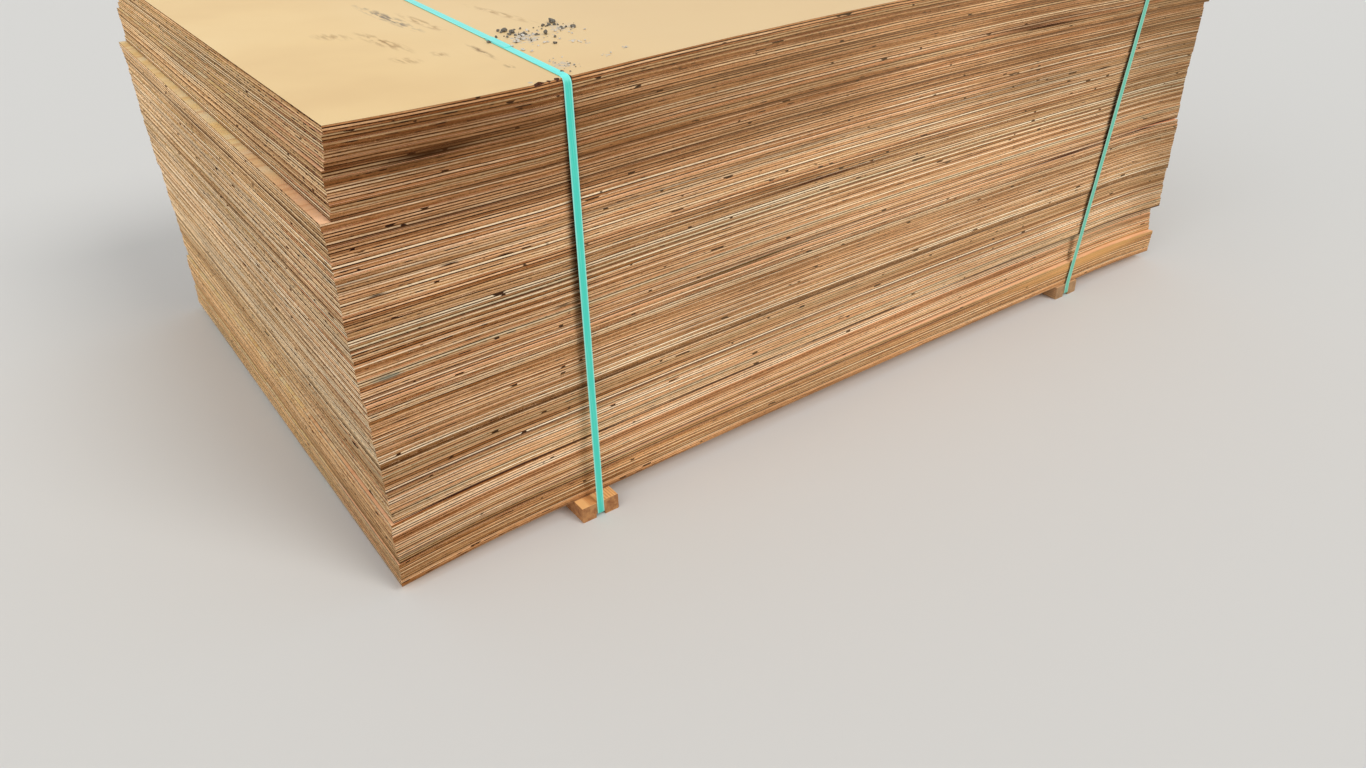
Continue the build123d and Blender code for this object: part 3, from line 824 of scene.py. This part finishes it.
long_edge = plywood_edge(
    "sawn plywood edge along the sheet", "X", dark_first=False, core_thinning=0.10,
    light_plies=((0.0, "#925E30"), (0.5, "#E2B98E"), (1.0, "#FFF4DC")),
    dark_plies=((0.0, "#1C0A00"), (0.45, "#543010"), (1.0, "#C09462")),
    glue="#3A1A02", pitting=(0.58, 0.6), flecking=0.22,
    sheet_tones=((0.0, "#C4B49A"), (0.35, "#FFFCF6"), (0.65, "#FCEBDE"), (0.85, "#FFFBF2"), (1.0, "#D4C0A6")),
    tone_by_height=((0.0, "#F2E8DA"), (0.12, "#F4EADD"), (0.25, "#F8F4F0"), (0.42, "#F4EAE0"),
                    (0.6, "#FFFCF8"), (0.78, "#EDDDD0"), (1.0, "#E2CDB8")),
    bleaching=(-1.3, -0.1, "#CDB48C", 0.12, 1.26),
    stains_and_shade=(
        # A grey-green patch, a long split, a pale scrape and the dirt along the top
        (-1.181, 0.4735, 0.040, 0.008, 0.0, "#6E7466", 0.8),
        (-1.045, 0.840, 0.140, 0.013, 0.03, "#1C0C04", 1.0),
        (-0.876, 0.8725, 0.090, 0.004, 0.0, "#A5806A", 0.7),
        (-1.020, 0.860, 0.420, 0.080, 0.0, "#4A260C", 0.42),
        (-0.780, 0.800, 0.500, 0.110, 0.0, "#5E3A18", 0.40),
        # The clean wedge by the lowest sheets
        (0.930, 0.093, 0.600, 0.024, 0.0, "#DCA768", 0.9),
        # Broad shade on the right and along the top
        (0.541, 0.704, 0.390, 0.199, 0.0, "#5E4020", 0.30),
        (-0.321, 0.777, 0.543, 0.161, 0.0, "#5E4020", 0.28),
        (1.150, 0.700, 0.550, 0.420, 0.0, "#6E5434", 0.54),
        (1.240, 0.300, 0.300, 0.260, 0.0, "#6E5434", 0.44),
        (0.850, 0.165, 0.400, 0.035, -0.080, "#B09A74", 0.55),
        (0.530, 0.810, 0.420, 0.016, -0.024, "#4A260C", 0.5),
        # Long joints between lifts, darkened with painted shade of the gaps
        (0.510, 0.8015, 0.220, 0.007, -0.045, "#2A0E06", 0.9),
        (0.700, 0.4445, 0.260, 0.006, 0.0, "#3A1410", 0.85),
        (1.060, 0.4435, 0.200, 0.007, 0.0, "#3A1410", 0.95),
        (-0.170, 0.592, 0.240, 0.006, 0.009, "#3E1A0A", 0.9),
        (-0.360, 0.4535, 0.420, 0.006, 0.024, "#4E3814", 0.85),
        # Painted shadow beside the two straps
        (-0.790, 0.640, 0.021, 0.460, -0.026, "#2A1206", 0.9),
        (0.8655, 0.470, 0.018, 0.560, -0.1466, "#2A1206", 0.9),
        # Single dark dashes
        (-1.038, 0.645, 0.026, 0.003, 0.0, "#1E0A04", 1.0),
        (-0.935, 0.632, 0.026, 0.003, 0.0, "#1E0A04", 1.0),
        (-1.172, 0.628, 0.024, 0.003, 0.0, "#2A1006", 0.9),
        (-0.831, 0.497, 0.030, 0.003, 0.0, "#2A1006", 0.9),
        (-1.174, 0.381, 0.020, 0.003, 0.0, "#2A0E08", 0.9),
        (0.788, 0.654, 0.040, 0.004, 0.0, "#2A1006", 0.9)))
short_end = plywood_edge(
    "sawn plywood edge across the sheet", "Y", dark_first=True, core_thinning=-0.06,
    light_plies=((0.0, "#B08E66"), (0.5, "#FFE2BC"), (1.0, "#FFF6E2")),
    dark_plies=((0.0, "#2A1604"), (0.45, "#8E6844"), (1.0, "#ECCCA4")),
    glue="#4C2A0A", pitting=(0.555, 1.0), flecking=0.3,
    sheet_tones=((0.0, "#D4C8B6"), (0.35, "#FFFCF4"), (0.65, "#FFF2E4"), (0.85, "#FFFCF4"), (1.0, "#DCCAB4")),
    tone_by_height=((0.0, "#E2D0B8"), (0.2, "#F4EADA"), (0.5, "#FFFFFF"), (0.8, "#FBF3E8"), (1.0, "#F4EADC")),
    bleaching=(-0.75, 0.75, "#E6C292", 0.08, 1.35))
veneer = veneer_face()
overlay = resin_overlay()
torn_wood = torn_veneer()

number = 0
for lift in LIFTS:
    piece, number = build_sheets(lift, number, (long_edge, short_end, veneer, veneer))
bends = build_strap("left_strap", polyester_strap("teal polyester strap", "#3CCDB8", "#A8EBE0"))
bends += build_strap("right_strap", polyester_strap("greyer teal polyester strap", "#5FBFA2", "#B4E0D0"))
top_piece, number = build_sheets(
    "top_sheet", number, (long_edge, short_end, overlay, veneer), torn_wood,
    chips=(((-0.834, -0.758, 0.917), 0.030, 11), ((-0.818, -0.757, 0.919), 0.030, 12),
           ((-0.802, -0.758, 0.919), 0.026, 13), ((-0.870, -0.759, 0.921), 0.020, 14)), bends=bends)

top_surface = BVHTree.FromPolygons([corner.co for corner in top_piece.data.vertices],
                                   [face.vertices for face in top_piece.data.polygons])
lay_grit("dark_grit", crushed_rock("dark stone grit", "#3F3A34", "#8A8478"), top_surface,
         ((-0.717, -0.405, 0.018), (-0.710, -0.426, 0.014), (-0.614, -0.412, 0.023), (-0.624, -0.467, 0.012),
          (-0.604, -0.478, 0.016), (-0.640, -0.422, 0.010), (-0.668, -0.484, 0.014), (-0.690, -0.557, 0.010),
          (-0.774, -0.726, 0.008)),
         ((-0.705, -0.455, 0.020, 0.026, 40, 0.003, 0.010), (-0.628, -0.450, 0.018, 0.022, 22, 0.003, 0.010),
          (-0.752, -0.690, 0.014, 0.022, 12, 0.002, 0.005)), 3)
lay_grit("pale_grit", crushed_rock("pale stone grit", "#B5AEA2", "#E6E0D6"), top_surface,
         ((-0.756, -0.554, 0.010), (-0.748, -0.574, 0.008), (-0.757, -0.655, 0.007), (-0.746, -0.703, 0.006)),
         ((-0.715, -0.490, 0.024, 0.030, 44, 0.003, 0.009), (-0.640, -0.470, 0.024, 0.030, 14, 0.003, 0.008),
          (-0.750, -0.680, 0.016, 0.026, 14, 0.002, 0.005), (-0.661, -0.695, 0.005, 0.006, 5, 0.003, 0.007),
          (-0.610, -0.677, 0.005, 0.006, 4, 0.003, 0.006), (-0.648, -0.580, 0.006, 0.016, 7, 0.003, 0.008)),
         4)

dress_bolster("left_bolster",
              sawn_softwood("weathered two by four", (-0.85, 0.0, -0.05), "#FFC680", "#E09C5C", "#864F2A"))
dress_bolster("right_bolster",
              sawn_softwood("paler two by four", (0.86, 0.0, -0.04), "#E8BC8C", "#C49058", "#94704C"))

lay_floor()
light_studio()
